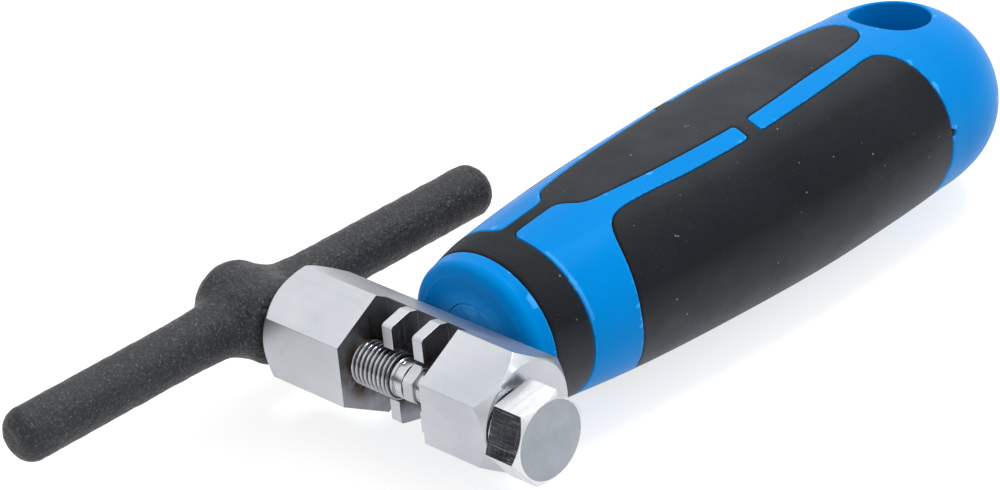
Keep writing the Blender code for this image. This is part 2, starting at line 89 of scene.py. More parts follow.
# Upper half of a fin's outline with its teeth, as (y, z)
FIN_TOP = (
    (3.4, 8.6), (2.3, 9.55), (0.6, 10.0), (-3.3, 9.05), (-3.7, 8.65), (-3.7, 4.85),
    (-3.6, 4.75), (0.3, 4.55), (0.95, 4.3), (1.3, 3.7),
)
PIN_EXIT_R, PIN_EXIT_END = 2.4, 12.2
PITCH, THREAD_DEPTH, THREAD_END, BORE_GAP = 1.0, 0.5, -1.65, 0.05
NECK_R, NOSE_R = 3.25, 2.5
HOLDER_AF, HOLDER_END, CONE_TIP_R, HOLDER_SHANK_R = 6.0, 3.75, 2.35, 2.2
PIN_R, PIN_ROUND, PIN_HEAD_R, PIN_HEAD_THICK = 1.6, 0.35, 2.1, 1.2
ARM_X, ARM_R, ARM_END_ROUND = -37.7, 4.8, 3.3
BOSS_R, BOSS_ROUND, BOSS_RIGHT_ROUND = 7.5, 4.4, 2.6
# The arms swell into the boss: how much, how far along, and the radius of the crease
SWELL, SWELL_REACH, BOSS_BLEND = 1.1, 8.5, 2.2
CASTING_VOXEL = 0.42
BOLT_AF, BOLT_TURN, BOLT_SHOULDER_R = 14.0, 8.5, 6.1
BOLT_SHOULDER, BOLT_HEAD, BOLT_FACE_R = 23.7, 24.7, 6.8
BOLT_BORE_R, BOLT_BORE_END = 2.2, 25.2
TANG_R, TANG_NECK_R = 4.0, 3.0
FRONT_FACE_R, FRONT_ROUND, FRONT_RING_R, DOME_START = 12.2, 1.9, 11.5, 114.0
BARREL = (
    (14.0, 14.15), (18.0, 15.1), (22.0, 15.8), (38.0, 17.5), (60.0, 18.75), (82.0, 19.35),
    (100.0, 18.95),
)
DOME_R, DOME_POWER = 18.4, 2.3
# The handle is oval: (distance along it, width and height as shares of the round radius)
OVAL = (
    (12.0, 1.03, 0.985), (24.0, 1.10, 0.95), (100.0, 1.10, 0.95), (120.0, 1.08, 0.945),
    (135.2, 1.05, 0.95),
)
HANDLE_ROLL = math.radians(-6.0)
PLUG_RECESS, TANG_BORE_END = 4.0, 70.3
HOLE_R, HOLE_Y, HOLE_ROUND, DRILL_REACH = 7.3, 118.0, 0.55, 24.0
HANDLE_STEPS = 192
BAND_Y, BRIDGE_Y = (15.7, 22.3), (68.9, 72.1)
# A moulding nub of rubber at the end of each side panel
NUB_Y, NUB_R = 110.5, 0.6
# How thick the rubber is, and how deep its recess in the blue moulding
RUBBER_DEPTH, RECESS_DEPTH = 1.4, 1.6
# Half the width of the gap between rubber and blue, and of the parting line
GROOVE, SEAM_HALF = 0.05, 0.16
# Distances from the rubber's edge, and from the hanging hole, where the skin is cut for its edges
EDGE_LEVELS = (-0.9, -0.5, -0.27, -0.13, -GROOVE, GROOVE, 0.13, 0.27, 0.5)
HOLE_LEVELS = (0.07, 0.15, 0.26, 0.4, 0.55)


# ---- node materials


class Nodes:
    """Short ways to add shader nodes to a tree."""

    def __init__(self, tree):
        self.tree = tree

    def node(self, kind, **settings):
        made = self.tree.nodes.new(kind)
        for label, value in settings.items():
            setattr(made, label, value)
        return made

    def link(self, source, target):
        self.tree.links.new(source, target)

    def ramp(self, value, low, high, dark=0.0, light=1.0, easing="LINEAR"):
        """The value moved from the range low to high into dark to light, without overshoot."""
        made = self.node("ShaderNodeMapRange", interpolation_type=easing)
        for label, number in zip(("From Min", "From Max", "To Min", "To Max"), (low, high, dark, light)):
            made.inputs[label].default_value = number
        self.link(value, made.inputs["Value"])
        return made.outputs["Result"]

    def math(self, kind, first, second):
        made = self.node("ShaderNodeMath", operation=kind)
        self.link(first, made.inputs[0])
        self.link(second, made.inputs[1])
        return made.outputs[0]

    def height(self, vector):
        """The Z part of a vector."""
        apart = self.node("ShaderNodeSeparateXYZ")
        self.link(vector, apart.inputs[0])
        return apart.outputs["Z"]


class Shader(Nodes):
    """A Principled material, with its base values, and ways to add patterns to it."""

    def __init__(self, name, colour, roughness, metallic=0.0, **inputs):
        self.material = bpy.data.materials.new(name)
        self.material.use_nodes = True
        super().__init__(self.material.node_tree)
        self.shader = self.tree.nodes["Principled BSDF"]
        self.shader.inputs["Base Color"].default_value = (*colour, 1.0)
        self.shader.inputs["Roughness"].default_value = roughness
        self.shader.inputs["Metallic"].default_value = metallic
        for label, value in inputs.items():
            self.shader.inputs[label.replace("_", " ")].default_value = value
        self.place = self.node("ShaderNodeTexCoord").outputs["Object"]
        self.normal = None

    def scaled(self, stretch):
        """The place vector stretched, which draws a pattern out along one axis."""
        mapping = self.node("ShaderNodeMapping")
        mapping.inputs["Scale"].default_value = stretch
        self.link(self.place, mapping.inputs["Vector"])
        return mapping.outputs["Vector"]

    def noise(self, scale, detail=3.0, rough=0.5, stretch=None, distortion=0.0):
        made = self.node("ShaderNodeTexNoise")
        made.inputs["Scale"].default_value = scale
        made.inputs["Detail"].default_value = detail
        made.inputs["Roughness"].default_value = rough
        made.inputs["Distortion"].default_value = distortion
        self.link(self.scaled(stretch) if stretch else self.place, made.inputs["Vector"])
        return made.outputs["Fac"]

    def mix(self, factor, first, second):
        """Two colours mixed by a factor; a colour is a tuple or a socket."""
        made = self.node("ShaderNodeMix", data_type="RGBA")
        self.link(factor, made.inputs[0])
        for socket, value in ((made.inputs[6], first), (made.inputs[7], second)):
            if isinstance(value, tuple):
                socket.default_value = (*value, 1.0)
            else:
                self.link(value, socket)
        return made.outputs[2]

    def bump(self, height, depth, strength=1.0):
        """Adds a bump of that depth in metres for a height from 0 to 1."""
        made = self.node("ShaderNodeBump")
        made.inputs["Strength"].default_value = strength
        made.inputs["Distance"].default_value = depth
        self.link(height, made.inputs["Height"])
        if self.normal:
            self.link(self.normal, made.inputs["Normal"])
        self.normal = made.outputs["Normal"]
        self.link(self.normal, self.shader.inputs["Normal"])

    def edges(self, low, high):
        """1 on sharp outer edges and 0 on flats, from the mesh's pointiness; the pale edges drawn with
        it are rubbed wear on steel and a painted highlight on the blue moulding.
        """
        pointed = self.node("ShaderNodeNewGeometry").outputs["Pointiness"]
        return self.ramp(pointed, low, high)

    def from_screw(self):
        """The distance in metres from the screw's axis."""
        flat = self.node("ShaderNodeVectorMath", operation="MULTIPLY_ADD")
        self.link(self.place, flat.inputs[0])
        flat.inputs[1].default_value = (0.0, 1.0, 1.0)
        flat.inputs[2].default_value = (0.0, -ORIGIN.y - SCREW_Y * MM, -ORIGIN.z)
        length = self.node("ShaderNodeVectorMath", operation="LENGTH")
        self.link(flat.outputs[0], length.inputs[0])
        return length.outputs["Value"]

    def set(self, label, value):
        self.link(value, self.shader.inputs[label])


def milled_steel():
    """Satin plated steel: soft mottling, faint milling lines and bright rubbed edges."""
    m = Shader("satin_steel_finish", (0.46, 0.48, 0.515), 0.34, 1.0)
    clouds = m.noise(60.0, 3.0, 0.55)
    lines = m.noise(900.0, 2.0, 0.6, stretch=(0.04, 1.0, 1.0))
    grain = m.noise(5200.0, 2.0, 0.6)
    smudges = m.noise(150.0, 5.0, 0.65)
    shade = m.mix(m.ramp(clouds, 0.35, 0.7), (0.435, 0.455, 0.49), (0.52, 0.54, 0.57))
    lined = m.mix(m.ramp(lines, 0.42, 0.6, 0.08, 0.0), shade, (0.28, 0.29, 0.31))
    stained = m.mix(m.ramp(smudges, 0.58, 0.72, 0.0, 0.3), lined, (0.33, 0.335, 0.345))
    m.set("Base Color", m.mix(m.edges(0.53, 0.60), stained, (0.62, 0.64, 0.67)))
    rough = m.math("ADD", m.ramp(clouds, 0.3, 0.7, 0.33, 0.40), m.ramp(lines, 0.3, 0.7, -0.02, 0.02))
    m.set("Roughness", rough)
    m.bump(lines, 0.000002)
    m.bump(grain, 0.000014)
    return m.material


def machined_steel():
    """The cut faces of the cradle: darker, with oil patches, and brown grease round the screw."""
    m = Shader("cradle_steel_finish", (0.26, 0.27, 0.29), 0.38, 1.0)
    clouds = m.noise(140.0, 4.0, 0.6)
    lines = m.noise(1500.0, 2.0, 0.6, stretch=(1.0, 1.0, 0.08))
    patches = m.noise(420.0, 4.0, 0.6)
    metal = m.mix(m.ramp(clouds, 0.35, 0.65), (0.19, 0.20, 0.22), (0.34, 0.35, 0.375))
    darkened = m.mix(m.ramp(clouds, 0.56, 0.72, 0.0, 0.5), metal, (0.12, 0.095, 0.07))
    near = m.ramp(m.from_screw(), 0.0042, 0.0068, 1.0, 0.0)
    grease = m.math("MULTIPLY", near, m.ramp(patches, 0.38, 0.56))
    m.set("Base Color", m.mix(grease, darkened, (0.13, 0.065, 0.025)))
    m.set("Roughness", m.ramp(lines, 0.3, 0.7, 0.30, 0.46))
    m.bump(lines, 0.00002)
    return m.material


def turned_steel(name, darkened=False):
    """Bright turned steel with fine rings, and with painted shade, near black, in the valleys of the
    screw's thread.
    """
    m = Shader(name, (0.52, 0.53, 0.55), 0.24, 1.0)
    rings = m.noise(2600.0, 2.0, 0.5, stretch=(1.0, 0.02, 0.02))
    clouds = m.noise(220.0, 3.0, 0.6)
    metal = m.mix(m.ramp(clouds, 0.4, 0.7), (0.42, 0.43, 0.455), (0.56, 0.57, 0.59))
    if darkened:
        # Painted shade: the thread's valleys near black at the root, fading towards the crests.
        deep = m.from_screw()
        root = (THREAD_R - THREAD_DEPTH) * MM
        valley = m.ramp(deep, root + 0.00012, root + 0.00042, 1.0, 0.12)
        thread = m.math("MULTIPLY", valley, m.ramp(deep, root - 0.00014, root - 0.00006))
        metal = m.mix(thread, metal, (0.045, 0.045, 0.048))
    m.set("Base Color", metal)
    m.set("Roughness", m.ramp(clouds, 0.3, 0.7, 0.2, 0.32))
    m.bump(rings, 0.000012)
    return m.material


def bolt_steel(name, dark, light, marked):
    """Bright steel of the end bolt, with shaper marks across it."""
    m = Shader(name, light, 0.3, 1.0)
    marks = m.noise(700.0, 3.0, 0.65, stretch=(1.0, 0.12, 0.12), distortion=0.4)
    clouds = m.noise(120.0, 4.0, 0.6)
    shade = m.mix(m.ramp(clouds, 0.35, 0.68), dark, light)
    lined = m.mix(m.ramp(marks, 0.5, 0.64, 0.0, marked), shade, (0.20, 0.205, 0.22))
    m.set("Base Color", m.mix(m.edges(0.53, 0.60), lined, (0.72, 0.73, 0.75)))
    m.set("Roughness", m.ramp(marks, 0.3, 0.7, 0.24, 0.38))
    m.bump(marks, 0.00002)
    return m.material


def scratches_on_painted_dark_flat():
    """A flat of the end bolt with spanner scratches in both directions; its near-black base colour is a
    painted dark reflection.
    """
    m = Shader("scratches_on_painted_dark_flat_finish", (0.1, 0.105, 0.115), 0.3, 1.0)
    clouds = m.noise(200.0, 4.0, 0.6)
    along = m.noise(4600.0, 3.0, 0.7, stretch=(0.04, 1.0, 1.0))
    across = m.noise(4200.0, 3.0, 0.7, stretch=(1.0, 0.04, 0.04))
    base = m.mix(m.ramp(clouds, 0.35, 0.65), (0.04, 0.045, 0.052), (0.10, 0.105, 0.12))
    lines = m.math("MAXIMUM", m.ramp(along, 0.56, 0.66, 0.0, 0.7), m.ramp(across, 0.58, 0.68, 0.0, 0.6))
    m.set("Base Color", m.mix(lines, base, (0.42, 0.43, 0.45)))
    m.set("Roughness", m.ramp(along, 0.3, 0.7, 0.22, 0.34))
    m.bump(along, 0.00001)
    m.bump(across, 0.00001)
    return m.material


def powder_coat():
    """Black wrinkle coating over rough casting: near black, with painted shade in the wrinkles' hollows
    and painted glints as fine light specks on the grain.
    """
    m = Shader("wrinkle_coat_finish", (0.016, 0.018, 0.022), 0.5, Specular_IOR_Level=0.38)
    grain = m.noise(2300.0, 4.0, 0.7)
    wrinkle = m.noise(1050.0, 3.0, 0.62, distortion=0.5)
    clouds = m.noise(90.0, 3.0, 0.5)
    base = m.mix(m.ramp(clouds, 0.3, 0.7), (0.005, 0.006, 0.008), (0.011, 0.013, 0.017))
    # Painted shade: the wrinkles' hollows darkened towards black.
    shaded_hollows = m.mix(m.ramp(wrinkle, 0.3, 0.5, 0.8, 0.0), base, (0.002, 0.002, 0.003))
    # Painted glints: fine light specks on the grain.
    m.set("Base Color", m.mix(m.ramp(grain, 0.55, 0.68, 0.0, 0.65), shaded_hollows, (0.13, 0.14, 0.165)))
    m.set("Roughness", m.ramp(wrinkle, 0.3, 0.7, 0.34, 0.58))
    m.bump(wrinkle, 0.0005, 1.0)
    m.bump(grain, 0.00022, 0.9)
    return m.material


def blue_plastic():
    """Semi-gloss moulded blue with a very fine spark-eroded grain, faint flow clouds and a painted pale
    highlight along its edges, broken up by scuff noise.
    """
    gloss = {"Specular_IOR_Level": 0.08, "Specular_Tint": (0.0, 0.6, 1.0, 1.0)}
    m = Shader("blue_moulding_finish", (0.0, 0.16, 0.47), 0.38, **gloss)
    clouds = m.noise(38.0, 3.0, 0.5)
    grain = m.noise(3800.0, 2.0, 0.6)
    scuffs = m.noise(420.0, 5.0, 0.7, stretch=(1.0, 0.25, 1.0))
    blue = m.mix(m.ramp(clouds, 0.3, 0.7), (0.0, 0.156, 0.455), (0.0, 0.172, 0.49))
    # Painted highlight: the edges made lighter blue, as where a rounded edge catches the light, broken
    # up by scuff noise.
    edge_highlight = m.math("MULTIPLY", m.edges(0.52, 0.56), m.ramp(scuffs, 0.35, 0.6, 0.3, 0.6))
    m.set("Base Color", m.mix(edge_highlight, blue, (0.07, 0.36, 0.78)))
    rough = m.math("ADD", m.ramp(clouds, 0.3, 0.7, 0.34, 0.42), m.ramp(scuffs, 0.55, 0.75, 0.0, 0.12))
    m.set("Roughness", rough)
    m.bump(grain, 0.000012, 0.6)
    return m.material


def black_rubber():
    """Matt soft-touch rubber with a fine grain, grey dust with a painted sheen low down and on top, and
    specks.
    """
    sheen = {"Sheen_Weight": 0.05, "Sheen_Roughness": 0.3, "Sheen_Tint": (0.9, 0.94, 1.0, 1.0)}
    m = Shader("soft_rubber_finish", (0.01, 0.012, 0.015), 0.6, Specular_IOR_Level=0.11, **sheen)
    clouds = m.noise(55.0, 4.0, 0.6)
    grain = m.noise(2600.0, 3.0, 0.6)
    base = m.mix(m.ramp(clouds, 0.3, 0.7), (0.004, 0.0055, 0.008), (0.008, 0.01, 0.013))
    height = m.height(m.place)
    # Lighter grey low down and on the top: dust, together with painted sheen as from the bright floor
    # below and the bright room above.
    low_dust_and_sheen = m.math("MULTIPLY", m.ramp(height, 0.024, 0.008), m.ramp(clouds, 0.3, 0.6, 0.5, 1.0))
    top_dust_and_sheen = m.math("MULTIPLY", m.ramp(height, 0.032, 0.036), m.ramp(clouds, 0.3, 0.7, 0.15, 0.4))
    for share in (low_dust_and_sheen, top_dust_and_sheen, m.ramp(grain, 0.62, 0.75, 0.0, 0.35)):
        base = m.mix(share, base, (0.07, 0.075, 0.085))
    specks = m.node("ShaderNodeTexVoronoi")
    specks.inputs["Scale"].default_value = 560.0
    m.link(m.place, specks.inputs["Vector"])
    chosen = m.ramp(m.noise(480.0, 2.0), 0.56, 0.66)
    dust = m.math("MULTIPLY", m.ramp(specks.outputs["Distance"], 0.06, 0.11, 0.45, 0.0), chosen)
    m.set("Base Color", m.mix(dust, base, (0.42, 0.42, 0.41)))
    m.set("Roughness", m.ramp(grain, 0.3, 0.7, 0.54, 0.72))
    m.bump(grain, 0.00004, 0.7)
    return m.material


# ---- mesh helpers


def finish_piece(mesh, name, material, body, replaces, sharp=None):
    """Makes a mesh in the frame a piece that rides on its body in place of a CAD node."""
    mesh.name = name
    mesh.materials.clear()
    mesh.materials.append(material)
    if sharp:
        mesh.set_sharp_from_angle(angle=math.radians(sharp))
    piece = bpy.data.objects.new(name, mesh)
    bpy.context.scene.collection.objects.link(piece)
    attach(piece, body)
    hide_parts(replaces)
    return piece


def add_piece(name, points, faces, material, body, replaces):
    """A piece from design points."""
    mesh = bpy.data.meshes.new(name)
    mesh.from_pydata([tuple(ORIGIN + Vector(p) * MM) for p in points], [], faces)
    mesh.shade_smooth()
    return finish_piece(mesh, name, material, body, replaces, 35.0)


def settle(item, name, material, body, replaces, sharp=None):
    """Moves a scratch object's mesh into the frame and makes it a piece."""
    mesh = item.data
    mesh.transform(Matrix.Translation(ORIGIN))
    bpy.data.objects.remove(item, do_unlink=True)
    return finish_piece(mesh, name, material, body, replaces, sharp)


def ring_points(along, radius, steps, axis, centre):
    """Points of one ring round an axis through centre."""
    turns = np.arange(steps) * (2 * math.pi / steps)
    if axis == "X":
        columns = (np.full(steps, along), radius * np.cos(turns), radius * np.sin(turns))
    else:
        columns = (radius * np.sin(turns), np.full(steps, along), radius * np.cos(turns))
    return np.stack(columns, axis=1) + np.array(centre)


def plain_rings(profile, steps, axis="X", centre=(0.0, 0.0, 0.0)):
    """The rings of a profile of (along, radius); a radius of 0 gives a single point."""
    return [ring_points(a, r, 1 if r < 1e-6 else steps, axis, centre) for a, r in profile]


def skinned(rings, steps):
    """Points and faces of the closed skin through rings of points."""
    starts = np.cumsum([0] + [len(ring) for ring in rings])
    index = [
        [int(start)] * steps if len(ring) == 1 else [int(start) + i for i in range(steps)]
        for start, ring in zip(starts, rings)
    ]
    faces = []
    for low, high in zip(index, index[1:]):
        for i in range(steps):
            j = (i + 1) % steps
            corners = [low[i], low[j], high[j], high[i]]
            face = [c for n, c in enumerate(corners) if c not in corners[:n]]
            if len(face) > 2:
                faces.append(face)
    return np.concatenate(rings), faces


def lathe(profile, steps, axis="X", centre=(0.0, 0.0, 0.0)):
    """Points and faces of a turned solid, whose outer side goes up the axis."""
    return skinned(plain_rings(profile, steps, axis, centre), steps)


def scratch(mesh):
    """An object for Booleans, never shown in the end."""
    item = bpy.data.objects.new(mesh.name, mesh)
    bpy.context.scene.collection.objects.link(item)
    return item


def solid(name, points, faces):
    """A scratch object in design metres, with its faces turned outwards."""
    mesh = bpy.data.meshes.new(name)
    mesh.from_pydata([tuple(Vector(p) * MM) for p in points], [], faces)
    work = bmesh.new()
    work.from_mesh(mesh)
    bmesh.ops.recalc_face_normals(work, faces=work.faces)
    work.to_mesh(mesh)
    work.free()
    return scratch(mesh)


def result_of(item):
    """A new mesh of the object with its modifiers applied."""
    bpy.context.view_layer.update()
    graph = bpy.context.evaluated_depsgraph_get()
    return bpy.data.meshes.new_from_object(item.evaluated_get(graph))


def combine(base, others, operation):
    """Applies one exact Boolean for each other object and removes the others."""
    for other in others:
        step = base.modifiers.new("Combine", "BOOLEAN")
        step.operation = operation
        step.solver = "EXACT"
        step.object = other
    base.data = result_of(base)
    base.modifiers.clear()
    for other in others:
        bpy.data.objects.remove(other, do_unlink=True)
    return base


def turned_item(name, profile, steps=96, axis="X", centre=(0.0, 0.0, 0.0)):
    return solid(name, *lathe(profile, steps, axis, centre))


def rod_item(name, radius, start, end, steps=64, axis="X", centre=(0.0, 0.0, 0.0)):
    return turned_item(name, [(start, 0), (start, radius), (end, radius), (end, 0)], steps, axis, centre)


def prism_item(name, outline, low, high):
    """An outline of (y, z) points extruded along X."""
    count = len(outline)
    points = [(x, y, z) for x in (low, high) for y, z in outline]
    faces = [list(range(count))[::-1], list(range(count, 2 * count))]
    faces += [[i, (i + 1) % count, (i + 1) % count + count, i + count] for i in range(count)]
    return solid(name, points, faces)


def hexagon(radius, first=90.0, centre=(0.0, 0.0)):
    """Corners (y, z) of a hexagon, the first at that angle from +Y towards +Z."""
    turns = [math.radians(first + 60 * i) for i in range(6)]
    return [(centre[0] + radius * math.cos(t), centre[1] + radius * math.sin(t)) for t in turns]


def soften(item, width, segments=3, angle=24.0):
    """Rounds the sharp edges of a scratch object to that width in design millimetres."""
    item.data.shade_smooth()
    bevel = item.modifiers.new("Soften", "BEVEL")
    bevel.width = width * MM
    bevel.segments = segments
    bevel.limit_method = "ANGLE"
    bevel.angle_limit = math.radians(angle)
    bevel.miter_outer = "MITER_ARC"
    weighted = item.modifiers.new("Weighted", "WEIGHTED_NORMAL")
    weighted.keep_sharp = False
    item.data = result_of(item)
    item.modifiers.clear()
    return item


def welded(item, distance=0.002):
    """The scratch object with close points joined and its flat faces made whole."""
    work = bmesh.new()
    work.from_mesh(item.data)
    bmesh.ops.remove_doubles(work, verts=work.verts, dist=distance * MM)
    bmesh.ops.dissolve_degenerate(work, edges=work.edges, dist=distance * MM)
    flat = math.radians(0.5)
    bmesh.ops.dissolve_limit(work, angle_limit=flat, verts=work.verts, edges=work.edges)
    work.to_mesh(item.data)
    work.free()
    return item


def arc(centre, radius, start, end, count):
    """Points (along, radius) of an arc; angles in degrees, 0 along the axis, 90 outwards."""
    turns = [math.radians(start + (end - start) * i / count) for i in range(count + 1)]
    return [(centre[0] + radius * math.cos(t), centre[1] + radius * math.sin(t)) for t in turns]


# ---- the metal pieces


def build_tool_body(satin, cut):
    """The hexagon bar with its cradle, fins, bores and turned ends; its cradle has a second finish."""
    corner = HEX_AF / math.sqrt(3)
    body = prism_item("body", hexagon(corner), BODY_LEFT - 1, BODY_RIGHT + 1)
    cradle = [(-20.0, -20.0), (SLOT_BACK_Y, -20.0), (SLOT_BACK_Y, 20.0), (-20.0, 20.0)]
    combine(body, [prism_item("cradle", cradle, -CRADLE_HALF, CRADLE_HALF)], "DIFFERENCE")
    fin = [*FIN_TOP, *((y, -z) for y, z in reversed(FIN_TOP))]
    half = FIN_THICK / 2
    combine(body, [prism_item("fin", fin, x - half, x + half) for x in FIN_X], "UNION")
    bore_r = THREAD_R + BORE_GAP
    mouth = [
        (-CRADLE_HALF - 0.5, 0), (-CRADLE_HALF - 0.5, bore_r), (-CRADLE_HALF - 0.1, bore_r),
        (-CRADLE_HALF + 0.5, bore_r + 0.6), (-CRADLE_HALF + 0.5, 0),
    ]
    cuts = [
        rod_item("screw_bore", bore_r, BODY_LEFT - 2, -CRADLE_HALF + 2, 96, centre=SCREW_AXIS),
        turned_item("screw_mouth", mouth, 96, centre=SCREW_AXIS),
        rod_item("pin_exit", PIN_EXIT_R, CRADLE_HALF - 2, PIN_EXIT_END + 1, centre=SCREW_AXIS),
        rod_item("bolt_bore", bore_r, PIN_EXIT_END, BODY_RIGHT + 2, 96, centre=SCREW_AXIS),
        rod_item("tang_hole", TANG_R + 0.3, edge("handle_tang", 1, 0) - 0.3, 20.0, 64, "Y"),
    ]
    combine(body, cuts, "DIFFERENCE")
    wide = corner + 0.2
    slope = (wide - FACE_R) / (corner - FACE_R) * CHAMFER
    ends = [
        (BODY_LEFT, 0), (BODY_LEFT, FACE_R), (BODY_LEFT + slope, wide), (BODY_RIGHT - slope, wide),
        (BODY_RIGHT, FACE_R), (BODY_RIGHT, 0),
    ]
    combine(body, [turned_item("turned_ends", ends, 160)], "INTERSECT")
    soften(welded(body), 0.16, 3)
    piece = settle(body, "hex_body", satin, "frame", "tool_body")
    piece.data.materials.append(cut)
    inside = CRADLE_HALF + 0.02
    for face in piece.data.polygons:
        centre = (face.center - ORIGIN) / MM
        walls = abs(face.normal.x) > 0.9 and abs(centre.x) < inside and centre.y < SLOT_BACK_Y + 0.1
        back = abs(centre.x) < inside and abs(centre.y - SLOT_BACK_Y) < 0.1
        if walls or back:
            face.material_index = 1
    return piece


def thread_points(start, end, steps, rings_a_turn, run_in, run_out):
    """Ring points of a rounded V thread, right-handed along +X."""
    count = round((end - start) / PITCH * rings_a_turn)
    turns = np.arange(steps) / steps
    rings = []
    for along in np.linspace(start, end, count + 1):
        phase = (along / PITCH - turns) % 1.0
        valley = 1.0 - np.abs(2.0 * phase - 1.0)
        rounded = np.clip((valley - 0.12) / 0.76, 0.0, 1.0)
        rounded = rounded * rounded * (3 - 2 * rounded) * 0.35 + rounded * 0.65
        fade = min(1.0, (along - start) / run_in, (end - along) / run_out)
        radii = THREAD_R - THREAD_DEPTH * np.maximum(fade, 0.0) * rounded
        angle = 2 * math.pi * turns
        rings.append(
            np.stack((np.full(steps, along), radii * np.cos(angle), radii * np.sin(angle)), axis=1)
        )
    return rings


def threaded(before, rings, after, steps, centre):
    """The closed skin of a plain profile, then thread rings, then more plain profile."""
    parts = plain_rings(before, steps) + rings + plain_rings(after, steps)
    points, faces = skinned(parts, steps)
    return points + np.array(centre), faces


def build_spindle(material):
    steps = 96
    start, end = BOSS_RIGHT - 1.5, THREAD_END + 0.25
    rings = thread_points(start, end, steps, 14, 1.0, 0.7)
    before = [(SPINDLE_START, 0), (SPINDLE_START, THREAD_R - 0.4), (SPINDLE_START + 0.4, THREAD_R)]
    groove_start, groove_end = THREAD_END + 1.0, THREAD_END + 1.6
    nose_back = HOLDER_BACK - PIN_HEAD_THICK - 0.6
    after = [(THREAD_END + 0.4, NECK_R + 0.35)]
    after += arc((THREAD_END + 0.75, NECK_R + 0.35), 0.35, 180, 270, 5)
    after += [(groove_start, NECK_R), (groove_start + 0.08, NECK_R - 0.2)]
    after += [(groove_end - 0.08, NECK_R - 0.2), (groove_end, NECK_R)]
    after += [(NECK_END - 0.25, NECK_R), (NECK_END - 0.07, NECK_R - 0.07), (NECK_END, NECK_R - 0.25)]
    after += [(NECK_END, NOSE_R), (nose_back, NOSE_R), (nose_back, 0)]
    points, faces = threaded(before, rings, after, steps, SCREW_AXIS)
    return add_piece("threaded_spindle", points, faces, material, "screw", "spindle")


def build_pin_holder(material):
    corner = HOLDER_AF / math.sqrt(3)
    start = NECK_END + 0.15
    hexed = hexagon(corner, 90.0, (SCREW_Y, 0.0))
    holder = prism_item("holder", hexed, start, HOLDER_END)
    turned = [
        (start - 0.1, 0), (start - 0.1, corner - 0.3), (start + 0.25, corner + 0.05),
        (HOLDER_END - 0.45, corner + 0.05), (HOLDER_END + 0.1, corner - 0.5), (HOLDER_END + 0.1, 0),
    ]
    combine(holder, [turned_item("holder_turn", turned, 96, centre=SCREW_AXIS)], "INTERSECT")
    cone_r = HOLDER_AF / 2 - 0.1
    cone = [
        (HOLDER_BACK, 0), (HOLDER_BACK, HOLDER_SHANK_R), (start + 0.5, HOLDER_SHANK_R),
        (HOLDER_END - 0.2, cone_r - 0.35), (HOLDER_END + 0.3, cone_r - 0.35),
        (HOLDER_END + 0.5, cone_r - 0.1), (CONE_END - 0.6, CONE_TIP_R + 0.15),
        (CONE_END - 0.15, CONE_TIP_R), (CONE_END, CONE_TIP_R - 0.2), (CONE_END, 0),
    ]
    combine(holder, [turned_item("holder_cone", cone, 96, centre=SCREW_AXIS)], "UNION")
    bore = rod_item("holder_bore", PIN_R + 0.07, HOLDER_BACK - 1, CONE_END + 1, centre=SCREW_AXIS)
    combine(holder, [bore], "DIFFERENCE")
    soften(welded(holder), 0.09, 2)
    return settle(holder, "hex_pin_holder", material, "screw", "pin_holder")


def build_pin(name, material, start, tip, head_at_start, head_r, body, node):
    """A drive pin with a rounded tip, and its head at one end."""
    neck, shaft_end = start + PIN_HEAD_THICK, tip - PIN_ROUND
    profile = [(start, 0), (start, head_r - 0.15), (start + 0.15, head_r), (neck - 0.1, head_r)]
    profile += [(neck, head_r - 0.1), (neck, PIN_R), (shaft_end, PIN_R)]
    profile += arc((shaft_end, PIN_R - PIN_ROUND), PIN_ROUND, 90, 0, 5) + [(tip, 0)]
    if not head_at_start:
        profile = [(start + tip - along, radius) for along, radius in reversed(profile)]
    points, faces = lathe(profile, 64, "X", SCREW_AXIS)
    return add_piece(name, points, faces, material, body, node)


